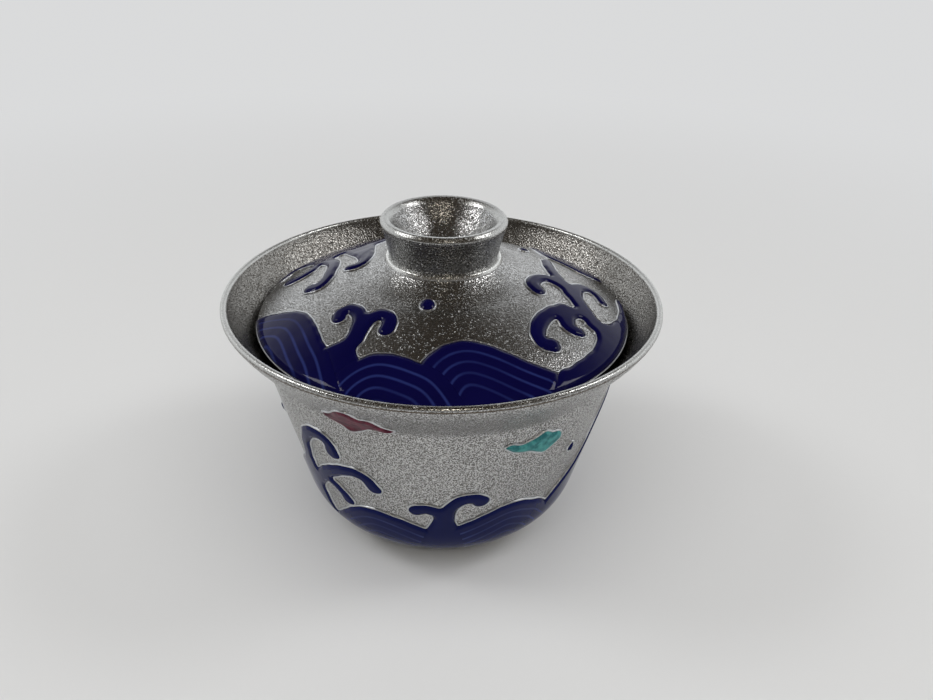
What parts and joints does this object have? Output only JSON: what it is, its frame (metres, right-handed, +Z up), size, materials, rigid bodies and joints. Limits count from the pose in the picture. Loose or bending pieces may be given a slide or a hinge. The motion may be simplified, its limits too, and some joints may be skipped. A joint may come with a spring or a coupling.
{
  "type": "lidded bowl",
  "caption": "Flared tea bowl on a foot ring with a domed lid that lifts off by its hollow ring knob; silvered ceramic with enamel waves and clouds.",
  "frame": {"origin": "middle of the foot ring's underside, on the table", "axes": "+Z up along the axis of the bowl and lid, -Y towards the side that the picture shows"},
  "size_m": [0.0998, 0.0998, 0.0776],
  "materials": {
    "silvered_ceramic": "fine-grained silver over glazed ceramic",
    "cobalt_enamel": "glossy deep blue enamel",
    "red_enamel": "glossy dark red enamel",
    "turquoise_enamel": "glossy turquoise enamel"
  },
  "bodies": {
    "bowl": {"bowl_body": "silvered_ceramic", "bowl_short_crest_1": "cobalt_enamel", "bowl_lean_hill_1": "cobalt_enamel", "bowl_round_hill_1": "cobalt_enamel", "bowl_tall_crest_1": "cobalt_enamel", "bowl_red_cloud_1": "red_enamel", "bowl_green_cloud_1": "turquoise_enamel", "bowl_drop_1": "cobalt_enamel", "bowl_short_crest_2": "cobalt_enamel", "bowl_lean_hill_2": "cobalt_enamel", "bowl_round_hill_2": "cobalt_enamel", "bowl_tall_crest_2": "cobalt_enamel", "bowl_red_cloud_2": "red_enamel", "bowl_green_cloud_2": "turquoise_enamel", "bowl_drop_2": "cobalt_enamel", "bowl_short_crest_3": "cobalt_enamel", "bowl_lean_hill_3": "cobalt_enamel", "bowl_round_hill_3": "cobalt_enamel", "bowl_tall_crest_3": "cobalt_enamel", "bowl_red_cloud_3": "red_enamel", "bowl_green_cloud_3": "turquoise_enamel", "bowl_drop_3": "cobalt_enamel"},
    "lid": {"lid_body": "silvered_ceramic", "lid_knob": "silvered_ceramic", "lid_forked_crest": "cobalt_enamel", "lid_left_hill": "cobalt_enamel", "lid_low_hill": "cobalt_enamel", "lid_branched_crest": "cobalt_enamel", "lid_round_hill": "cobalt_enamel", "lid_back_crest": "cobalt_enamel", "lid_back_hill": "cobalt_enamel", "lid_side_hill": "cobalt_enamel", "lid_drop_front": "cobalt_enamel", "lid_drop_back": "cobalt_enamel"}
  },
  "joints": [
    {"name": "lid_lift", "type": "slide", "parent": "bowl", "child": "lid", "axis": [0, 0, 1], "range_m": [0, 0.08]}
  ]
}
